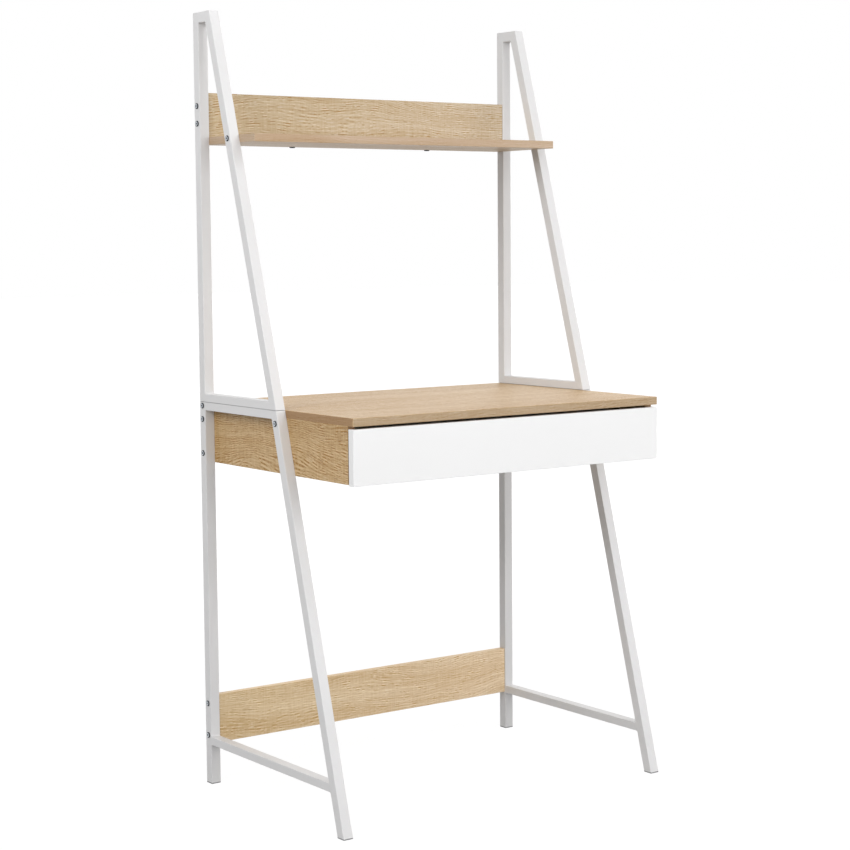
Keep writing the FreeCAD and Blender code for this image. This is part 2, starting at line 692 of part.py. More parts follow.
moving_web = "(runner_gap - runner_sheet)"
track_top = "(track_rise + runner_sheet)"
front_axle_rise = "(track_rise - roller_play - roller_diameter / 2)"
rear_axle_rise = "(runner_sheet + roller_play + roller_diameter / 2)"
rear_axle_step = f"({runner_length} - roller_inset)"
screw_hole = "screw_diameter + 2 * screw_fit"
axle_hole = "axle_diameter + 2 * axle_fit"

fixed_runner = runner("left_fixed_runner", fixed_start, [
    ("0", "0"),
    ("track_flange", "0"),
    ("track_flange", "runner_sheet"),
    ("runner_sheet", "runner_sheet"),
    ("runner_sheet", "keeper_rise - runner_sheet"),
    ("keeper_flange", "keeper_rise - runner_sheet"),
    ("keeper_flange", "keeper_rise"),
    ("0", "keeper_rise"),
])
cut(fixed_runner, "+X", "runner_sheet", diameter=screw_hole,
    centres=[(step, screw_rise) for step in screw_steps])
cut(fixed_runner, "+X", "runner_sheet", diameter=axle_hole, centres=[("roller_inset", front_axle_rise)])
keep_pair(fixed_runner)

moving_runner = runner("left_drawer_runner", moving_start, [
    ("track_inset", "track_rise"),
    (moving_web, "track_rise"),
    (moving_web, "runner_step - runner_sheet"),
    ("runner_gap + hook_flange", "runner_step - runner_sheet"),
    ("runner_gap + hook_flange", "runner_step"),
    ("runner_gap", "runner_step"),
    ("runner_gap", track_top),
    ("track_inset", track_top),
])
cut(moving_runner, "+X", "runner_sheet", diameter=screw_hole, start=moving_web,
    centres=[(step, track_screw_rise) for step in screw_steps])
cut(moving_runner, "+X", "runner_sheet", diameter=axle_hole, start=moving_web,
    centres=[(rear_axle_step, rear_axle_rise)])
keep_pair(moving_runner)


def roller(label, across, depth, height):
    body = new_body(label)
    place(body, across, depth, height)
    sketch = new_sketch(body, "YZ_Plane")
    draw_circle(sketch, ("0", "0"), "roller_diameter")
    wheel = pad(body, sketch, "roller_width")
    ease_edges(body, wheel, "roller_ease")
    cut(body, "+X", "roller_width", centres=[("0", "0")], diameter="axle_diameter + 2 * axle_fit")
    keep_pair(body)


def axle(label, across, depth, height, inward):
    body = new_body(f"left_{label}")
    place(body, across, depth, height)
    shank = new_sketch(body, "YZ_Plane")
    draw_circle(shank, ("0", "0"), "axle_diameter")
    pad(body, shank, "runner_sheet + 2 * roller_spacer + roller_width", not inward)
    end = "runner_sheet + 2 * roller_spacer + roller_width - axle_head"
    head = new_sketch(body, "YZ_Plane", end if inward else f"-({end})")
    draw_circle(head, ("0", "0"), "axle_head_diameter")
    pad(body, head, "axle_head", not inward)
    twin = doc.addObject("Part::Mirroring", f"right_{label}")
    twin.Source = body
    twin.Normal = directions["+X"]
    keep_group(f"{label}s", [body, twin])


front_axle = (f"{fixed_start} + roller_inset", f"{runner_foot} + {front_axle_rise}")
rear_axle = (f"{moving_start} + {rear_axle_step}", f"{runner_foot} + {rear_axle_rise}")
roller("left_front_roller", f"-{panel_half} + runner_sheet + roller_spacer", *front_axle)
roller("left_rear_roller", f"-{drawer_half} - runner_sheet - roller_spacer - roller_width", *rear_axle)
axle("front_roller_axle", f"-{panel_half}", *front_axle, True)
axle("rear_roller_axle", f"-{drawer_half}", *rear_axle, False)


# Fittings. Each master points along +Z with the underside of its head at zero.
def turned_master(label, head_diameter, head_rise, diameter, length):
    body = new_body(label)
    shank = new_sketch(body, "XY_Plane")
    draw_circle(shank, ("0", "0"), diameter)
    pad(body, shank, length)
    head = new_sketch(body, "XY_Plane")
    draw_circle(head, ("0", "0"), head_diameter)
    return body, pad(body, head, head_rise, True)


def bolt_master(label, grip):
    body, head = turned_master(
        label, "bolt_head_diameter", "bolt_head", "bolt_diameter", f"{grip} + bolt_reach")
    doc.recompute()
    lowest = head.Shape.BoundBox.ZMin
    round_edges(body, head, "bolt_head_round", lambda edge: abs(edge.BoundBox.ZMax - lowest) < hair)
    socket = new_sketch(body, "XY_Plane", "-bolt_head")
    draw_hexagon(socket, "socket_flats")
    feature = body.newObject("PartDesign::Pocket", "socket")
    feature.Profile = socket
    feature.Reversed = True
    bind(feature, "Length", "socket_depth")
    return body


def sleeve_master(label, diameter, length):
    body = new_body(label)
    sketch = new_sketch(body, "XY_Plane")
    draw_circle(sketch, ("0", "0"), diameter)
    draw_circle(sketch, ("0", "0"), "bolt_diameter + 2 * insert_fit")
    pad(body, sketch, length)
    return body


def plain_master(label, diameter, length):
    body = new_body(label)
    sketch = new_sketch(body, "XY_Plane")
    draw_circle(sketch, ("0", "0"), diameter)
    pad(body, sketch, length)
    return body


outer_half = "full_width / 2"
bolt_places = [(upright_middle, height) for height in lower_bolts + shelf_bolt_heights]
bolt_places.append((tube_middle("lower", side_bolt_height), side_bolt_height))
bolt_places.append((tube_middle("upper", shelf_middle), shelf_middle))
frame_bolt = bolt_master("frame_bolt", "tube")
insert = sleeve_master("insert", "insert_diameter", "insert_length")
keep_group("frame_bolts", both_sides(frame_bolt, [(outer_half, *spot) for spot in bolt_places], "+X"))

under_sides = ("-under_bolt_span / 2", "under_bolt_span / 2")
under_places = [(across, f"{board_front} + board / 2") for across in under_sides]
under_bolt = bolt_master("under_bolt", "board")
keep_group("shelf_bolts", [copy_of(under_bolt, (*spot, shelf_foot), "+Z") for spot in under_places])

insert_copies = both_sides(insert, [(inner_half, *spot) for spot in bolt_places], "+X")
insert_copies += [copy_of(insert, (*spot, shelf_height), "+Z") for spot in under_places]
keep_group("threaded_inserts", insert_copies)

joint_bolt = bolt_master("joint_bolt", "tube_wall")
rivet_nut = sleeve_master("rivet_nut", "rivet_nut_diameter", "rivet_nut_length")
joint_places = [("full_width / 2 - tube / 2", depth) for depth in joint_bolt_depths]
keep_group("storey_bolts", both_sides(
    joint_bolt, [(*spot, "desk_height - tube_wall") for spot in joint_places], "+Z"))
keep_group("storey_nuts", both_sides(rivet_nut, [(*spot, "desk_height") for spot in joint_places], "+Z"))

cam_lock = plain_master("cam_lock", "cam_diameter", "cam_thick")
cut(cam_lock, "+X", "cam_diameter", centres=[("0", "cam_seat")], diameter=bolt_bore)
cam_bolt = plain_master("cam_bolt", "cam_bolt_diameter", "cam_drop + cam_bolt_reach - 2 * cam_fit")
dowel = plain_master("dowel", "dowel_diameter", "dowel_length - 2 * cam_fit")
ease_edges(dowel, dowel.Tip, "edge_ease")

cam_height = f"{apron_top} - cam_drop"
keep_group("desk_cam_locks", both_sides(
    cam_lock, [(panel_half, depth, cam_height) for depth in cam_depths], "-X", "+Z"))
keep_group("desk_cam_bolts", both_sides(
    cam_bolt, [(cam_across, depth, f"{cam_height} + cam_fit") for depth in cam_depths], "+Z"))
dowel_height = f"{apron_top} - dowel_length + dowel_reach + cam_fit"
keep_group("desk_dowels", both_sides(
    dowel, [(cam_across, depth, dowel_height) for depth in dowel_depths], "+Z"))

drawer_cam_places = [("front_thick + cam_drop", f"{box_foot} + {height}") for height in drawer_cam_heights]
keep_group("drawer_cam_locks", both_sides(
    cam_lock, [(box_half, *spot) for spot in drawer_cam_places], "-X", "-Y"))
keep_group("drawer_cam_bolts", both_sides(
    cam_bolt, [(f"{box_half} + cam_seat", f"{depth} - cam_fit", height)
               for depth, height in drawer_cam_places], "-Y"))

panel_screw, _ = turned_master(
    "panel_screw", "panel_screw_head", "panel_screw_head_rise - screw_fit", "panel_screw_diameter",
    "board - panel_screw_head_rise + panel_screw_reach - screw_fit")
keep_group("desk_panel_screws", both_sides(
    panel_screw, [(f"{inner_half} - board / 2", f"{board_back} - panel_screw_head_rise", height)
                  for height in panel_screw_heights], "-Y"))
drawer_screw, _ = turned_master(
    "drawer_screw", "panel_screw_head", "panel_screw_head_rise - screw_fit", "panel_screw_diameter",
    "drawer_wall - panel_screw_head_rise + panel_screw_reach - screw_fit")
keep_group("drawer_back_screws", both_sides(
    drawer_screw, [(f"{drawer_half} - panel_screw_head_rise", f"{box_end} - drawer_wall / 2",
                    f"{box_foot} + {height}") for height in spread(back_middle, "panel_screw_span")], "+X"))

runner_screw, _ = turned_master(
    "runner_screw", "screw_head_diameter", "screw_head", "screw_diameter",
    "runner_sheet + screw_reach - screw_fit")
keep_group("fixed_runner_screws", both_sides(
    runner_screw, [(f"{panel_half} - runner_sheet", f"{fixed_start} + {step}",
                    f"{runner_foot} + {screw_rise}") for step in screw_steps], "-X"))
keep_group("drawer_runner_screws", both_sides(
    runner_screw, [(f"{drawer_half} + runner_sheet", f"{moving_start} + {step}",
                    f"{runner_foot} + {track_screw_rise}") for step in screw_steps], "+X"))
floor_screw, _ = turned_master(
    "floor_screw", "screw_head_diameter", "screw_head", "screw_diameter",
    "floor_thick + screw_reach - screw_fit")
keep_group("drawer_floor_screws", [
    copy_of(floor_screw, (f"{across} - {box_half}", f"{box_end} - drawer_wall / 2", floor_foot), "+Z")
    for across in floor_screws])

doc.recompute()
for thing in doc.Objects:
    if "Invalid" in thing.State or "Error" in thing.State:
        raise RuntimeError(f"{thing.Label} did not compute")
    if thing.TypeId == "PartDesign::Pocket" and thing.Shape.Volume >= thing.BaseFeature.Shape.Volume:
        raise RuntimeError(f"a cut in {thing.getParentGeoFeatureGroup().Label} removes nothing")
for label, piece in parts.items():
    if piece.Shape.isNull() or not piece.Shape.isValid():
        raise RuntimeError(f"{label} has no valid shape")

os.makedirs("parts", exist_ok=True)
for label, piece in parts.items():
    piece.Shape.exportStep(f"parts/{label}.step")
print(len(parts), "nodes,", sum(len(piece.Shape.Solids) for piece in parts.values()), "solids")
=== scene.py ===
import bpy
import math
from mathutils import Matrix, Vector


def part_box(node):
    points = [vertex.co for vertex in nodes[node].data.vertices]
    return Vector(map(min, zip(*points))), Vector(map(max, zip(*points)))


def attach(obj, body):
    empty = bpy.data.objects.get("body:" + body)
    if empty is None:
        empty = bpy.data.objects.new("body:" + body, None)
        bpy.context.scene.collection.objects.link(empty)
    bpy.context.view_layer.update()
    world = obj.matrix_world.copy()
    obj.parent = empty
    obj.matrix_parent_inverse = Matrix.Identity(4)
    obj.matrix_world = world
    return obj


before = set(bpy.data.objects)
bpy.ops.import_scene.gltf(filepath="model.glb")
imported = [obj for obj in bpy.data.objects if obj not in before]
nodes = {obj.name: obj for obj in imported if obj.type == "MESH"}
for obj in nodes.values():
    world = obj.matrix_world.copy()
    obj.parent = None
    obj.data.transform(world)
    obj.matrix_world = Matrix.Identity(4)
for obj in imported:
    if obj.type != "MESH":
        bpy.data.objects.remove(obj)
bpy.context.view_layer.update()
print("frame loaded:", len(nodes), "nodes")

quarter = math.pi / 2
middle = 0.5  # where a noise swings around
mixSockets = {"RGBA": (6, 7, 2), "VECTOR": (4, 5, 1)}  # both inputs and the output of a Mix node


# small helpers for node trees
def addNode(tree, kind, **settings):
    node = tree.nodes.new(kind)
    for name, value in settings.items():
        setattr(node, name, value)
    return node


def feed(tree, source, target, socket):
    tree.links.new(source, target.inputs[socket])


# links an output, or sets a plain value or colour on the socket
def give(tree, value, node, socket):
    if isinstance(value, bpy.types.NodeSocket):
        feed(tree, value, node, socket)
    elif isinstance(value, tuple):
        node.inputs[socket].default_value = (*value, 1.0)
    else:
        node.inputs[socket].default_value = value


def mathNode(tree, operation, first, second=None, clamp=False):
    node = addNode(tree, "ShaderNodeMath", operation=operation, use_clamp=clamp)
    give(tree, first, node, 0)
    if second is not None:
        give(tree, second, node, 1)
    return node.outputs[0]


def product(tree, first, *others):
    for other in others:
        first = mathNode(tree, "MULTIPLY", first, other)
    return first


# adds up marks around their middle, each with its own gain
def gather(tree, *shares):
    total = middle
    for mark, gain in shares:
        swing = mathNode(tree, "SUBTRACT", mark, middle)
        total = mathNode(tree, "ADD", mathNode(tree, "MULTIPLY", swing, gain), total)
    return total


def mixNode(tree, kind, factor, first, second, blend="MIX", beyond=False):
    node = addNode(tree, "ShaderNodeMix", data_type=kind, blend_type=blend, clamp_factor=not beyond)
    firstAt, secondAt, resultAt = mixSockets[kind]
    for socket, value in ((0, factor), (firstAt, first), (secondAt, second)):
        give(tree, value, node, socket)
    return node.outputs[resultAt]


def mixColour(tree, factor, first, second, blend="MIX", beyond=False):
    return mixNode(tree, "RGBA", factor, first, second, blend, beyond)


def ramp(tree, value, low, high):
    node = addNode(tree, "ShaderNodeMapRange", interpolation_type="SMOOTHSTEP")
    node.inputs["From Min"].default_value = low
    node.inputs["From Max"].default_value = high
    feed(tree, value, node, "Value")
    return node.outputs[0]


def axes(tree, vector):
    split = addNode(tree, "ShaderNodeSeparateXYZ")
    feed(tree, vector, split, "Vector")
    return split.outputs


def objectPlace(tree):
    return addNode(tree, "ShaderNodeTexCoord").outputs["Object"]


def faceNormal(tree):
    return addNode(tree, "ShaderNodeNewGeometry").outputs["True Normal"]


def facing(tree, axis, low=0.8, high=0.95):
    return ramp(tree, mathNode(tree, "ABSOLUTE", axes(tree, faceNormal(tree))[axis]), low, high)


def stretched(tree, vector, grain):
    mapping = addNode(tree, "ShaderNodeMapping")
    mapping.inputs["Scale"].default_value = grain["stretch"]
    mapping.inputs["Location"].default_value = grain.get("shift", (0.0, 0.0, 0.0))
    feed(tree, vector, mapping, "Vector")
    return mapping.outputs[0]


def noise(tree, vector, grain):
    node = addNode(tree, "ShaderNodeTexNoise")
    node.inputs["Scale"].default_value = 1.0
    node.inputs["Detail"].default_value = grain.get("detail", 2.0)
    node.inputs["Roughness"].default_value = grain.get("roughness", 0.5)
    feed(tree, stretched(tree, vector, grain), node, "Vector")
    return node.outputs[0]


# even fine strokes across y, about as wide as each other
def strokes(tree, vector, grain, evenness=0.95):
    node = addNode(tree, "ShaderNodeTexGabor", gabor_type="2D")
    node.inputs["Scale"].default_value = 1.0
    node.inputs["Frequency"].default_value = grain["waves"]
    node.inputs["Anisotropy"].default_value = evenness
    node.inputs["Orientation"].default_value = quarter
    feed(tree, stretched(tree, vector, grain), node, "Vector")
    return node.outputs["Value"]


def newGroup(name, inputs):
    tree = bpy.data.node_groups.new(name, "ShaderNodeTree")
    for label, kind in inputs.items():
        tree.interface.new_socket(label, in_out="INPUT", socket_type="NodeSocket" + kind)
    for label, kind in (("Color", "Color"), ("Roughness", "Float"), ("Height", "Float")):
        tree.interface.new_socket(label, in_out="OUTPUT", socket_type="NodeSocket" + kind)
    return tree, tree.nodes.new("NodeGroupInput").outputs, tree.nodes.new("NodeGroupOutput")


# oak foil: x runs along the grain, y across it
oakGrain = {
    "bow": {"stretch": (3.2, 6.5, 6.5), "detail": 1.0},
    "broad": {"stretch": (1.8, 26.0, 26.0), "shift": (3.0, 1.0, 0.0), "gain": 1.5},
    "rings": {"stretch": (3.0, 120.0, 120.0), "shift": (5.0, 3.0, 1.0), "roughness": 0.6, "gain": 0.9},
    "lines": {"stretch": (30.0, 75.0, 75.0), "shift": (0.0, 5.0, 0.0), "waves": 2.2, "gain": 0.7},
    "dashes": {"stretch": (45.0, 90.0, 90.0), "shift": (7.0, 0.0, 2.0), "waves": 2.3, "gain": 3.2},
    "breaks": {"stretch": (140.0, 260.0, 260.0), "shift": (6.0, 2.0, 4.0), "detail": 0.0,
               "range": (0.38, 0.62)},
    "hairs": {"stretch": (30.0, 900.0, 900.0), "shift": (4.0, 8.0, 6.0), "roughness": 0.6, "gain": 0.8},
    "saw": {"stretch": (420.0, 26.0, 26.0), "shift": (2.0, 6.0, 3.0), "detail": 1.0, "gain": 0.5},
    "flecks": {"stretch": (50.0, 90.0, 90.0), "shift": (1.0, 4.0, 5.0), "waves": 2.3,
               "range": (0.62, 0.8), "share": 0.75},
    "pores": {"stretch": (40.0, 85.0, 85.0), "shift": (0.0, 2.0, 9.0), "waves": 2.3,
              "range": (0.62, 0.8), "share": 0.85},
    "openRings": {"range": (0.62, 0.42), "least": 0.3},
    "tone": {"range": (-0.5, 1.5)},
    "gloss": {"least": 0.36, "spread": 0.16},
}


def makeOakFigure():
    tree, given, result = newGroup("oakFigure", {
        "Vector": "Vector", "Pale": "Color", "Dark": "Color", "Pore": "Color", "Fleck": "Color",
        "Bend": "Float", "Figure": "Float", "Contrast": "Float"})
    vector, contrast = given["Vector"], given["Contrast"]
    bow = mathNode(tree, "SUBTRACT", noise(tree, vector, oakGrain["bow"]), middle)
    sway = mathNode(tree, "MULTIPLY", bow, given["Bend"])
    straight = axes(tree, vector)
    curved = addNode(tree, "ShaderNodeCombineXYZ")  # the fibres follow the bends of the growth rings
    feed(tree, straight["X"], curved, "X")
    feed(tree, mathNode(tree, "ADD", straight["Y"], sway), curved, "Y")
    feed(tree, straight["Z"], curved, "Z")
    fibre = curved.outputs[0]
    broad, rings, hairs, breaks = (
        noise(tree, fibre, oakGrain[name]) for name in ("broad", "rings", "hairs", "breaks"))
    lines, dashes, flecks, pores = (
        strokes(tree, fibre, oakGrain[name]) for name in ("lines", "dashes", "flecks", "pores"))
    saw = noise(tree, vector, oakGrain["saw"])  # cross marks of a rough sawn face
    breaks = ramp(tree, breaks, *oakGrain["breaks"]["range"])
    broken = gather(tree, (dashes, breaks))
    gains = {name: grain["gain"] for name, grain in oakGrain.items() if "gain" in grain}
    fine = gather(tree, (lines, gains["lines"]), (broken, gains["dashes"]),
                  (hairs, gains["hairs"]), (saw, gains["saw"]))
    bands = gather(tree, (broad, gains["broad"]), (rings, gains["rings"]))
    limit = addNode(tree, "ShaderNodeClamp")
    for socket, value in zip(("Min", "Max"), oakGrain["tone"]["range"]):
        limit.inputs[socket].default_value = value
    feed(tree, gather(tree, (bands, given["Figure"]), (fine, contrast)), limit, "Value")
    tone = limit.outputs[0]
    colour = mixColour(tree, tone, given["Dark"], given["Pale"], beyond=True)
    fleckMask = ramp(tree, flecks, *oakGrain["flecks"]["range"])
    fleckMask = product(tree, fleckMask, mathNode(tree, "SUBTRACT", 1.0, breaks), contrast)
    fleckMask = mathNode(tree, "MULTIPLY", fleckMask, oakGrain["flecks"]["share"], clamp=True)
    colour = mixColour(tree, fleckMask, colour, given["Fleck"])
    openRings = ramp(tree, rings, *oakGrain["openRings"]["range"])  # the pores crowd where a ring begins
    crowd = mathNode(tree, "ADD", openRings, oakGrain["openRings"]["least"])
    poreMask = product(tree, ramp(tree, pores, *oakGrain["pores"]["range"]), crowd, breaks, contrast)
    poreMask = mathNode(tree, "MULTIPLY", poreMask, oakGrain["pores"]["share"], clamp=True)
    colour = mixColour(tree, poreMask, colour, given["Pore"])
    gloss = oakGrain["gloss"]
    sunk = mathNode(tree, "MULTIPLY", mathNode(tree, "SUBTRACT", 1.0, tone), gloss["spread"])
    feed(tree, colour, result, "Color")
    feed(tree, mathNode(tree, "ADD", sunk, gloss["least"]), result, "Roughness")
    feed(tree, mathNode(tree, "SUBTRACT", tone, poreMask), result, "Height")
    return tree


# fine unevenness of a sprayed or moulded skin, and the faint tone that handling leaves
skinGrain = {"cloud": {"stretch": (6.0, 6.0, 6.0), "detail": 4.0}, "shadeRange": (0.35, 0.75),
             "glossChange": 0.12, "peelDetail": 2.0}


def makeSkin():
    tree, given, result = newGroup("skin", {
        "Vector": "Vector", "Color": "Color", "Shade": "Color", "Grain": "Float", "Gloss": "Float"})
    cloud = noise(tree, given["Vector"], skinGrain["cloud"])
    peel = addNode(tree, "ShaderNodeTexNoise")
    peel.inputs["Detail"].default_value = skinGrain["peelDetail"]
    feed(tree, given["Vector"], peel, "Vector")
    feed(tree, given["Grain"], peel, "Scale")
    shaded = ramp(tree, cloud, *skinGrain["shadeRange"])
    swing = mathNode(tree, "SUBTRACT", cloud, middle)
    change = mathNode(tree, "MULTIPLY", swing, skinGrain["glossChange"])
    feed(tree, mixColour(tree, shaded, given["Color"], given["Shade"]), result, "Color")
    feed(tree, mathNode(tree, "ADD", given["Gloss"], change, clamp=True), result, "Roughness")
    feed(tree, peel.outputs[0], result, "Height")
    return tree


oakFigure = makeOakFigure()
skin = makeSkin()


def newMaterial(name, metallic=0.0, specular=0.5):
    material = bpy.data.materials.new(name)
    material.use_nodes = True
    tree = material.node_tree
    shader = tree.nodes["Principled BSDF"]
    shader.inputs["Metallic"].default_value = metallic
    shader.inputs["Specular IOR Level"].default_value = specular
    return material, tree, shader


def useGroup(tree, group, values):
    node = addNode(tree, "ShaderNodeGroup", node_tree=group)
    for name, value in values.items():
        give(tree, value, node, name)
    return node


def addBump(tree, shader, height, strength, distance):
    bump = addNode(tree, "ShaderNodeBump")
    bump.inputs["Strength"].default_value = strength
    bump.inputs["Distance"].default_value = distance
    feed(tree, height, bump, "Height")
    feed(tree, bump.outputs[0], shader, "Normal")


# the oak boards: how each lies, and the grain and tone of its faces, edges and ends
oakLook = {
    "pale": (0.62, 0.475, 0.292),
    "dark": (0.446, 0.287, 0.126),
    "pore": (0.36, 0.215, 0.085),
    "fleck": (0.665, 0.55, 0.39),
    "bump": 0.1,
    "poreDepth": 0.0002,
    "edgeCalm": 0.6,  # edges and ends are plainer than the faces
}
flat = (0, 0, 0)
upright = (-quarter, 0, 0)  # across the grain runs z
alongY = (0, 0, -quarter)  # along the grain runs y
turnedUp = (-quarter, -quarter, 0)  # along the grain runs y, across it z
lying = {"turn": flat, "ends": "X", "edges": "Y", "edgeTurn": upright, "endTurn": turnedUp,
         "drift": (-0.34, 0.34)}
standing = {"turn": upright, "ends": "X", "edges": "Z", "edgeTurn": flat, "endTurn": turnedUp,
            "drift": (-0.34, 0.34)}
# the side panels carry painted shade toward their tops, under the desk top
sideways = {"turn": turnedUp, "ends": "Y", "edges": "Z", "edgeTurn": alongY, "endTurn": upright,
            "drift": (-0.24, 0.24), "bend": 0.1, "figure": 1.3, "contrast": 2.4, "sheen": 0.5,
            "tone": (0.945, 0.85, 0.7), "farTone": (0.92, 0.815, 0.64), "endTone": (0.64, 0.52, 0.42),
            "shade": (0.9, 0.885, 0.84), "shadeAt": (0.685, 0.735)}
# the lighter, bluer tones of the front-facing shelf, shelf back panel and lower back panel, paler still
# toward their far ends, are partly the boards' own tone and partly painted sheen
boards = {
    "desk_top": {
        **lying, "shift": (0.0, 0.03, 0.0), "bend": 0.08, "figure": 0.6, "contrast": 1.5, "sheen": 0.4,
        "tone": (0.99, 0.915, 0.815), "edgeTone": (0.82, 0.82, 0.9), "endTone": (0.64, 0.52, 0.42)},
    "shelf": {
        **lying, "shift": (2.3, 0.41, 0.0), "bend": 0.05, "figure": 0.8, "contrast": 0.8, "sheen": 0.4,
        "tone": (0.95, 0.98, 1.1), "edgeTone": (0.945, 0.95, 1.15), "endTone": (0.885, 0.885, 1.05)},
    "shelf_back_panel": {
        **standing, "shift": (1.6, 0.74, 0.2), "bend": 0.09, "figure": 0.9, "contrast": 1.15, "sheen": 0.5,
        "tone": (0.93, 0.98, 1.06), "farTone": (1.076, 1.195, 1.5)},
    "lower_back_panel": {
        **standing, "shift": (4.6, 0.2, 0.5), "bend": 0.1, "figure": 0.9, "contrast": 1.1, "sheen": 0.7,
        "tone": (1.23, 1.26, 1.29), "farTone": (1.47, 1.545, 1.79), "edgeTone": (1.45, 1.5, 1.6)},
    "desk_rear_panel": {
        **standing, "shift": (6.2, 0.9, 0.1), "bend": 0.1, "figure": 1.0, "contrast": 1.3, "sheen": 0.5,
        "tone": (0.95, 0.95, 0.95)},
    "left_side_panel": {**sideways, "shift": (3.4, 0.15, 0.3)},
    "right_side_panel": {**sideways, "shift": (8.4, 0.55, 0.7)},
}


def turnedPlace(tree, turn, shift):
    mapping = addNode(tree, "ShaderNodeMapping")
    mapping.inputs["Rotation"].default_value = turn
    mapping.inputs["Location"].default_value = shift
    feed(tree, objectPlace(tree), mapping, "Vector")
    return mapping.outputs[0]


def makeOak(name, board):
    material, tree, shader = newMaterial(name, specular=board["sheen"])
    onEnd, onEdge = facing(tree, board["ends"]), facing(tree, board["edges"])
    place = turnedPlace(tree, board["turn"], board["shift"])
    for share, turn in ((onEdge, "edgeTurn"), (onEnd, "endTurn")):  # edges and ends have grain of their own
        turned = turnedPlace(tree, board[turn], board["shift"])
        place = mixNode(tree, "VECTOR", share, place, turned)
    calm = mathNode(tree, "MULTIPLY", mathNode(tree, "MAXIMUM", onEdge, onEnd), oakLook["edgeCalm"])
    contrast = mathNode(tree, "MULTIPLY", mathNode(tree, "SUBTRACT", 1.0, calm), board["contrast"])
    grain = useGroup(tree, oakFigure, {
        "Vector": place, "Pale": oakLook["pale"], "Dark": oakLook["dark"], "Pore": oakLook["pore"],
        "Fleck": oakLook["fleck"], "Bend": board["bend"], "Figure": board["figure"], "Contrast": contrast})
    along = axes(tree, objectPlace(tree))
    # on the front-facing boards this drift is partly painted sheen
    drift = ramp(tree, along[board["ends"]], *board["drift"])  # the tone drifts from one end to the other
    tone = mixColour(tree, drift, board["tone"], board.get("farTone", board["tone"]))
    if "shade" in board:  # painted shade: darker toward the top, under the desk top, where its shadow falls
        shaded = mixColour(tree, 1.0, tone, board["shade"], "MULTIPLY")
        tone = mixColour(tree, ramp(tree, along["Z"], *board["shadeAt"]), tone, shaded)
    tone = mixColour(tree, onEdge, tone, board.get("edgeTone", board["tone"]))
    tone = mixColour(tree, onEnd, tone, board.get("endTone", board["tone"]))
    feed(tree, mixColour(tree, 1.0, grain.outputs["Color"], tone, "MULTIPLY"), shader, "Base Color")
    feed(tree, grain.outputs["Roughness"], shader, "Roughness")
    addBump(tree, shader, grain.outputs["Height"], oakLook["bump"], oakLook["poreDepth"])
    return material


def dress(nodeName, material):
    slots = nodes[nodeName].data.materials
    slots.clear()
    slots.append(material)


for nodeName, board in boards.items():
    dress(nodeName, makeOak(nodeName + "Oak", board))
print("oak on", len(boards), "boards")


# paint, plastic, zinc and beech, all with the same kind of skin
looks = {
    "frame": {"colour": (0.745, 0.74, 0.745), "shade": (0.72, 0.715, 0.715), "grain": 700.0, "gloss": 0.34,
              "bump": 0.1, "depth": 0.0002},
    "front": {"colour": (0.89, 0.89, 0.89), "shade": (0.88, 0.88, 0.88), "grain": 1600.0, "gloss": 0.42,
              "bump": 0.05, "depth": 0.0001},
    "box": {"colour": (0.86, 0.86, 0.85), "shade": (0.83, 0.83, 0.815), "grain": 1500.0, "gloss": 0.55,
            "bump": 0.06, "depth": 0.0001},
    "runner": {"colour": (0.80, 0.80, 0.79), "shade": (0.74, 0.74, 0.73), "grain": 900.0, "gloss": 0.3,
               "bump": 0.08, "depth": 0.0001},
    "roller": {"colour": (0.74, 0.73, 0.69), "shade": (0.66, 0.65, 0.60), "grain": 1400.0, "gloss": 0.5,
               "bump": 0.06, "depth": 0.0001},
    "foot": {"colour": (0.2, 0.2, 0.205), "shade": (0.23, 0.23, 0.23), "grain": 2200.0, "gloss": 0.55,
             "bump": 0.25, "depth": 0.0001},
    "zinc": {"colour": (0.6, 0.635, 0.67), "shade": (0.5, 0.53, 0.565), "grain": 1800.0, "gloss": 0.32,
             "bump": 0.1, "depth": 0.00005, "metal": 1.0},
    "dowel": {"colour": (0.62, 0.44, 0.27), "shade": (0.52, 0.35, 0.2), "grain": 1200.0, "gloss": 0.6,
              "bump": 0.2, "depth": 0.0002},
}


def makeSkinned(name, look):
    material, tree, shader = newMaterial(name, look.get("metal", 0.0))
    cover = useGroup(tree, skin, {
        "Vector": objectPlace(tree), "Color": look["colour"], "Shade": look["shade"],
        "Grain": look["grain"], "Gloss": look["gloss"]})
    feed(tree, cover.outputs["Color"], shader, "Base Color")
    feed(tree, cover.outputs["Roughness"], shader, "Roughness")
    addBump(tree, shader, cover.outputs["Height"], look["bump"], look["depth"])
    return material, tree, shader, cover.outputs


# painted shade: a dark line in the crevice where the two storeys meet
seamShadeLook = {"height": 0.75, "reach": 0.0011, "core": 0.0003, "shade": (0.34, 0.34, 0.345), "share": 0.75}


def makeFrameWhite():
    material, tree, shader, cover = makeSkinned("frameWhite", looks["frame"])
    level = axes(tree, objectPlace(tree))["Z"]
    offSeam = mathNode(tree, "ABSOLUTE", mathNode(tree, "SUBTRACT", level, seamShadeLook["height"]))
    # painted shade along the seam crevice between the storeys
    paintedSeamShade = ramp(tree, offSeam, seamShadeLook["reach"], seamShadeLook["core"])
    paintedSeamShade = mathNode(tree, "MULTIPLY", paintedSeamShade, seamShadeLook["share"])
    feed(tree, mixColour(tree, paintedSeamShade, cover["Color"], seamShadeLook["shade"]), shader, "Base Color")
    return material


# the drawer floor is white-faced hardboard, left raw underneath
rawBoard = {"colour": (0.6, 0.4, 0.21), "from": -0.5, "to": -0.8}


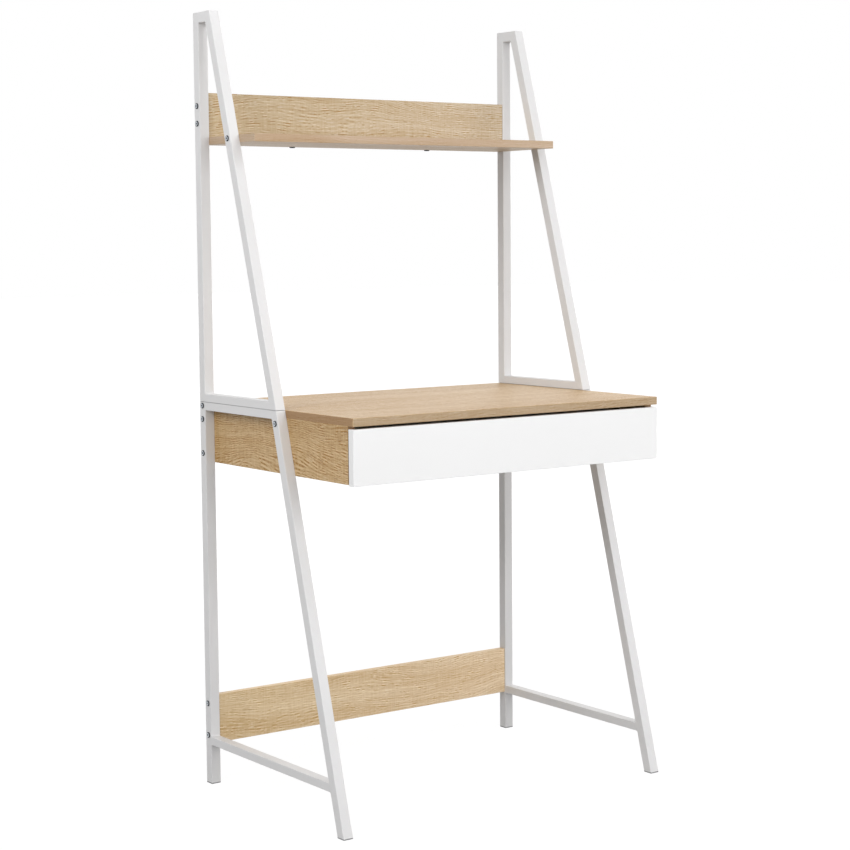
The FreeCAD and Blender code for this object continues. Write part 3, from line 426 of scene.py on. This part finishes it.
def makeFloorBoard():
    material, tree, shader, cover = makeSkinned("floorBoard", looks["box"])
    under = ramp(tree, axes(tree, faceNormal(tree))["Z"], rawBoard["from"], rawBoard["to"])
    feed(tree, mixColour(tree, under, cover["Color"], rawBoard["colour"]), shader, "Base Color")
    return material


# the flat of a bolt's head keeps the zinc colour; painted shade: its rim, its shank and every face not
# facing along the axis are painted near black, standing in for shade and dark reflections
paintedRimShade = {"colour": (0.035, 0.038, 0.042), "roughness": 0.6, "from": 0.0034, "to": 0.0047, "apart": 0.012,
           "flatFrom": 0.86, "flatTo": 0.97}


# where the heads of a group of bolts lie, as points on their axes
def headPlaces(node, axis):
    across = [n for n in range(3) if n != "XYZ".index(axis)]
    points = [[point.co[n] for n in across] for point in node.data.vertices]
    places = []
    for point in points:
        if any(math.dist(point, place) < paintedRimShade["apart"] for place in places):
            continue
        near = [other for other in points if math.dist(point, other) < paintedRimShade["apart"]]
        places.append([(min(values) + max(values)) / 2 for values in zip(*near)])
    for place in places:
        place.insert("XYZ".index(axis), 0.0)
    return places


def makeZinc(name, axis, headsOf=None):
    material, tree, shader, cover = makeSkinned(name, looks["zinc"])
    bright = facing(tree, axis, paintedRimShade["flatFrom"], paintedRimShade["flatTo"])
    if headsOf:
        level = addNode(tree, "ShaderNodeVectorMath", operation="MULTIPLY")
        level.inputs[1].default_value = [float(letter != axis) for letter in "XYZ"]
        feed(tree, objectPlace(tree), level, 0)
        nearest = 1.0  # farther than any head is wide
        for spot in headPlaces(nodes[headsOf], axis):
            away = addNode(tree, "ShaderNodeVectorMath", operation="DISTANCE")
            away.inputs[1].default_value = spot
            feed(tree, level.outputs[0], away, 0)
            nearest = mathNode(tree, "MINIMUM", away.outputs["Value"], nearest)
        bright = mathNode(tree, "MULTIPLY", bright, ramp(tree, nearest, paintedRimShade["to"], paintedRimShade["from"]))
    # painted shade: rims, shanks and side faces get the near-black rim colour
    feed(tree, mixColour(tree, bright, paintedRimShade["colour"], cover["Color"]), shader, "Base Color")
    gloss = mathNode(tree, "SUBTRACT", cover["Roughness"], paintedRimShade["roughness"])
    gloss = mathNode(tree, "ADD", mathNode(tree, "MULTIPLY", gloss, bright), paintedRimShade["roughness"])
    feed(tree, gloss, shader, "Roughness")
    return material


frameWhite = makeFrameWhite()
floorBoard = makeFloorBoard()
frontWhite, boxWhite, runnerWhite, rollerNylon, footGrey, dowelBeech = (
    makeSkinned(name, looks[look])[0] for name, look in (
        ("frontWhite", "front"), ("boxWhite", "box"), ("runnerWhite", "runner"),
        ("rollerNylon", "roller"), ("footGrey", "foot"), ("dowelBeech", "dowel")))
zincBolts = makeZinc("zincBolts", "X", "frame_bolts")
zincUnder = makeZinc("zincUnder", "Z", "shelf_bolts")
zincPanel = makeZinc("zincPanel", "Y", "desk_panel_screws")
zincAcross = makeZinc("zincAcross", "X")
zincAlong = makeZinc("zincAlong", "Y")
zincUp = makeZinc("zincUp", "Z")

sides = ("left_", "right_")
pairFinishes = {  # pieces on both sides
    "lower_upright": frameWhite, "front_leg": frameWhite, "lower_top_rail": frameWhite,
    "stretcher": frameWhite, "upper_upright": frameWhite, "upper_front_tube": frameWhite,
    "upper_bottom_rail": frameWhite, "top_bar": frameWhite, "rear_foot": footGrey, "front_foot": footGrey,
    "fixed_runner": runnerWhite, "drawer_runner": runnerWhite, "front_roller": rollerNylon,
    "rear_roller": rollerNylon, "drawer_side": boxWhite,
}
finishes = {side + part: material for side in sides for part, material in pairFinishes.items()}
finishes.update({
    "drawer_front": frontWhite, "drawer_back": boxWhite, "drawer_floor": floorBoard,
    "desk_dowels": dowelBeech, "frame_bolts": zincBolts, "shelf_bolts": zincUnder,
    "desk_panel_screws": zincPanel, "drawer_cam_bolts": zincAlong, "storey_bolts": zincUp,
    "storey_nuts": zincUp, "desk_cam_bolts": zincUp, "drawer_floor_screws": zincUp,
    "threaded_inserts": zincAcross, "front_roller_axles": zincAcross, "rear_roller_axles": zincAcross,
    "fixed_runner_screws": zincAcross, "drawer_runner_screws": zincAcross,
    "drawer_back_screws": zincAcross, "desk_cam_locks": zincAcross, "drawer_cam_locks": zincAcross,
})
for nodeName, material in finishes.items():
    dress(nodeName, material)
print("finishes on", len(finishes) + len(boards), "nodes")


# welds of the side frames: beads in the inner corners, ground flush on the faces
weldLook = {
    "corner": 0.0014, "flush": 0.00035, "pitch": 0.0015, "unevenness": 0.5, "seed": 4.0, "tubeRound": 0.001,
    "beadSides": 10, "ripple": 700.0,
    "rails": {
        "lower_top_rail": {"lean": 0.276, "levels": ("low",)},
        "stretcher": {"lean": 0.276, "levels": ("low", "high")},
        "upper_bottom_rail": {"lean": 0.2954, "levels": ("high",)},
        "top_bar": {"lean": 0.2954, "levels": ("low",)},
    },
}


def makeWeldTree():
    tree = bpy.data.node_groups.new("weldBead", "GeometryNodeTree")
    inputs = {"Paths": "Geometry", "Bead": "Float", "Pitch": "Float", "Unevenness": "Float", "Seed": "Float",
              "Material": "Material"}
    for label, kind in inputs.items():
        tree.interface.new_socket(label, in_out="INPUT", socket_type="NodeSocket" + kind)
    tree.interface.new_socket("Beads", in_out="OUTPUT", socket_type="NodeSocketGeometry")
    given, result = tree.nodes.new("NodeGroupInput").outputs, tree.nodes.new("NodeGroupOutput")
    path = addNode(tree, "GeometryNodeMeshToCurve")
    feed(tree, given["Paths"], path, "Mesh")
    steps = addNode(tree, "GeometryNodeResampleCurve", mode="LENGTH")
    feed(tree, path.outputs["Curve"], steps, "Curve")
    feed(tree, given["Pitch"], steps, "Length")
    ring = addNode(tree, "GeometryNodeCurvePrimitiveCircle")
    ring.inputs["Resolution"].default_value = weldLook["beadSides"]
    feed(tree, given["Bead"], ring, "Radius")
    ripple = addNode(tree, "ShaderNodeTexNoise", noise_dimensions="4D")
    ripple.inputs["Scale"].default_value = weldLook["ripple"]
    feed(tree, given["Seed"], ripple, "W")
    swing = mathNode(tree, "SUBTRACT", ripple.outputs[0], middle)
    swell = mathNode(tree, "MULTIPLY", swing, given["Unevenness"])
    bead = addNode(tree, "GeometryNodeCurveToMesh")
    feed(tree, steps.outputs["Curve"], bead, "Curve")
    feed(tree, ring.outputs["Curve"], bead, "Profile Curve")
    feed(tree, mathNode(tree, "ADD", swell, 1.0), bead, "Scale")
    bead.inputs["Fill Caps"].default_value = True
    smooth = addNode(tree, "GeometryNodeSetShadeSmooth")
    feed(tree, bead.outputs["Mesh"], smooth, "Geometry")
    real = addNode(tree, "GeometryNodeRealizeInstances")
    feed(tree, smooth.outputs["Geometry"], real, "Geometry")
    coat = addNode(tree, "GeometryNodeSetMaterial")
    feed(tree, real.outputs["Geometry"], coat, "Geometry")
    feed(tree, given["Material"], coat, "Material")
    feed(tree, coat.outputs["Geometry"], result, "Beads")
    return tree


def weldPaths():
    corners, faces = [], []
    edge = weldLook["tubeRound"]
    sunk = edge - 2 * weldLook["flush"]
    for side in sides:
        for rail, plan in weldLook["rails"].items():
            low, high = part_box(side + rail)
            outer, inner = low[0], high[0]
            level = {"low": low[2], "high": high[2]}
            for name in plan["levels"]:
                for y in (low[1] + plan["lean"] * (level[name] - low[2]), high[1]):
                    corners.append(((outer + edge, y, level[name]), (inner - edge, y, level[name])))
            foot, top = low[2] + edge, high[2] - edge
            for x in (outer + sunk, inner - sunk):
                frontAt = [low[1] + plan["lean"] * (z - low[2]) - sunk for z in (foot, top)]
                faces.append(((x, frontAt[0], foot), (x, frontAt[1], top)))
                faces.append(((x, high[1] + sunk, foot), (x, high[1] + sunk, top)))
    return corners, faces


def makeWelds(name, tree, paths, bead):
    mesh = bpy.data.meshes.new(name + "Paths")
    points = [point for path in paths for point in path]
    mesh.from_pydata(points, [(2 * n, 2 * n + 1) for n in range(len(paths))], [])
    carrier = bpy.data.objects.new(name + "Paths", mesh)
    bpy.context.scene.collection.objects.link(carrier)
    modifier = carrier.modifiers.new("beads", "NODES")
    modifier.node_group = tree
    values = {"Bead": bead, "Pitch": weldLook["pitch"], "Unevenness": weldLook["unevenness"],
              "Seed": weldLook["seed"], "Material": frameWhite}
    for item in tree.interface.items_tree:
        if item.name in values and item.in_out == "INPUT":
            modifier[item.identifier] = values[item.name]
    bpy.context.view_layer.update()
    evaluated = carrier.evaluated_get(bpy.context.evaluated_depsgraph_get())
    shape = bpy.data.meshes.new_from_object(evaluated)
    bpy.data.objects.remove(carrier)
    piece = bpy.data.objects.new(name, shape)
    bpy.context.scene.collection.objects.link(piece)
    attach(piece, "desk")


weldTree = makeWeldTree()
cornerPaths, facePaths = weldPaths()
makeWelds("corner_welds", weldTree, cornerPaths, weldLook["corner"])
makeWelds("flush_welds", weldTree, facePaths, weldLook["flush"])
print("welds:", len(cornerPaths), "corner and", len(facePaths), "flush")


# white floor and surroundings: they look white, and light the desk only a little
floorLook = {"size": 60.0, "colour": (0.45, 0.45, 0.45), "roughness": 0.9, "glow": 1.2,
             "nearShare": 0.78, "farShare": 0.9, "near": 0.9, "far": 3.0}
worldLook = {"colour": (1.0, 1.0, 1.0), "strength": 0.145}


def seenDirectly(tree):
    path = addNode(tree, "ShaderNodeLightPath")
    direct = mathNode(tree, "MAXIMUM", path.outputs["Is Camera Ray"], path.outputs["Is Glossy Ray"])
    return mathNode(tree, "MAXIMUM", direct, path.outputs["Is Transmission Ray"])


def makeFloor():
    half = floorLook["size"] / 2
    mesh = bpy.data.meshes.new("floor")
    corners = [(-half, -half, 0), (half, -half, 0), (half, half, 0), (-half, half, 0)]
    mesh.from_pydata(corners, [], [(0, 1, 2, 3)])
    floor = bpy.data.objects.new("floor", mesh)
    bpy.context.scene.collection.objects.link(floor)
    material, tree, shader = newMaterial("floorWhite", specular=0.0)
    give(tree, floorLook["colour"], shader, "Base Color")
    give(tree, floorLook["roughness"], shader, "Roughness")
    glow = addNode(tree, "ShaderNodeEmission")
    glow.inputs["Strength"].default_value = floorLook["glow"]
    reach = addNode(tree, "ShaderNodeVectorMath", operation="LENGTH")
    feed(tree, objectPlace(tree), reach, 0)
    away = ramp(tree, reach.outputs["Value"], floorLook["near"], floorLook["far"])
    away = mathNode(tree, "MULTIPLY", away, floorLook["farShare"] - floorLook["nearShare"])
    share = mathNode(tree, "ADD", away, floorLook["nearShare"])
    mix = addNode(tree, "ShaderNodeMixShader")
    feed(tree, mathNode(tree, "MULTIPLY", seenDirectly(tree), share), mix, 0)
    feed(tree, shader.outputs[0], mix, 1)
    feed(tree, glow.outputs[0], mix, 2)
    feed(tree, mix.outputs[0], tree.nodes["Material Output"], "Surface")
    mesh.materials.append(material)


def makeWorld():
    world = bpy.data.worlds.new("studio")
    world.use_nodes = True
    tree = world.node_tree
    background = tree.nodes["Background"]
    give(tree, worldLook["colour"], background, "Color")
    extra = mathNode(tree, "MULTIPLY", seenDirectly(tree), 1.0 - worldLook["strength"])
    feed(tree, mathNode(tree, "ADD", extra, worldLook["strength"]), background, "Strength")
    bpy.context.scene.world = world


lampAim = Vector((0.0, 0.0, 0.75))
lamps = {
    "front": {"at": (0.0, -3.6, 1.75), "size": 2.0, "power": 57.0},
    "frontRight": {"at": (2.79, -2.79, 1.45), "size": 2.6, "power": 26.0},
    "highRight": {"at": (1.65, -1.97, 3.81), "size": 2.0, "power": 32.0},
    "left": {"at": (-3.3, -1.2, 2.5), "size": 2.0, "power": 72.0},
    "highLeft": {"at": (-2.42, -0.88, 3.81), "size": 2.0, "power": 15.0},
    "right": {"at": (3.6, 0.9, 1.6), "size": 2.0, "power": 40.0},
    "backLeft": {"at": (-2.2, 2.4, 3.2), "size": 2.0, "power": 24.0},
    "backRight": {"at": (2.4, 2.2, 3.2), "size": 2.0, "power": 24.0},
}


def makeLamp(name, lamp):
    data = bpy.data.lights.new(name, "AREA")
    data.size = lamp["size"]
    data.energy = lamp["power"]
    light = bpy.data.objects.new(name, data)
    light.location = lamp["at"]
    light.rotation_euler = (lampAim - Vector(lamp["at"])).to_track_quat("-Z", "Y").to_euler()
    bpy.context.scene.collection.objects.link(light)


# the photographer's place; angles in degrees, the focal length in pixels of the picture
shot = {"at": (-2.2791, -3.1269, 1.0646), "azimuth": 35.8435, "elevation": -5.3978, "roll": -0.4654,
        "focal": 2003.3, "picture": 850, "sensor": 36.0}


def makeCamera():
    azimuth, elevation, roll = (math.radians(shot[key]) for key in ("azimuth", "elevation", "roll"))
    level = Vector((math.sin(azimuth), math.cos(azimuth), 0.0)) * math.cos(elevation)
    ahead = level + Vector((0.0, 0.0, math.sin(elevation)))
    right = Vector((math.cos(azimuth), -math.sin(azimuth), 0.0))
    up = right.cross(ahead)
    tiltedRight = right * math.cos(roll) + up * math.sin(roll)
    tiltedUp = up * math.cos(roll) - right * math.sin(roll)
    data = bpy.data.cameras.new("camera")
    data.sensor_width = shot["sensor"]
    data.lens = shot["focal"] * shot["sensor"] / shot["picture"]
    camera = bpy.data.objects.new("camera", data)
    turned = Matrix((tiltedRight, tiltedUp, -ahead)).transposed().to_4x4()
    camera.matrix_world = Matrix.Translation(shot["at"]) @ turned
    bpy.context.scene.collection.objects.link(camera)
    bpy.context.scene.camera = camera


makeFloor()
makeWorld()
for lampName, lamp in lamps.items():
    makeLamp(lampName, lamp)
makeCamera()
bpy.context.scene.view_settings.view_transform = "Standard"
print("floor, light and camera set")
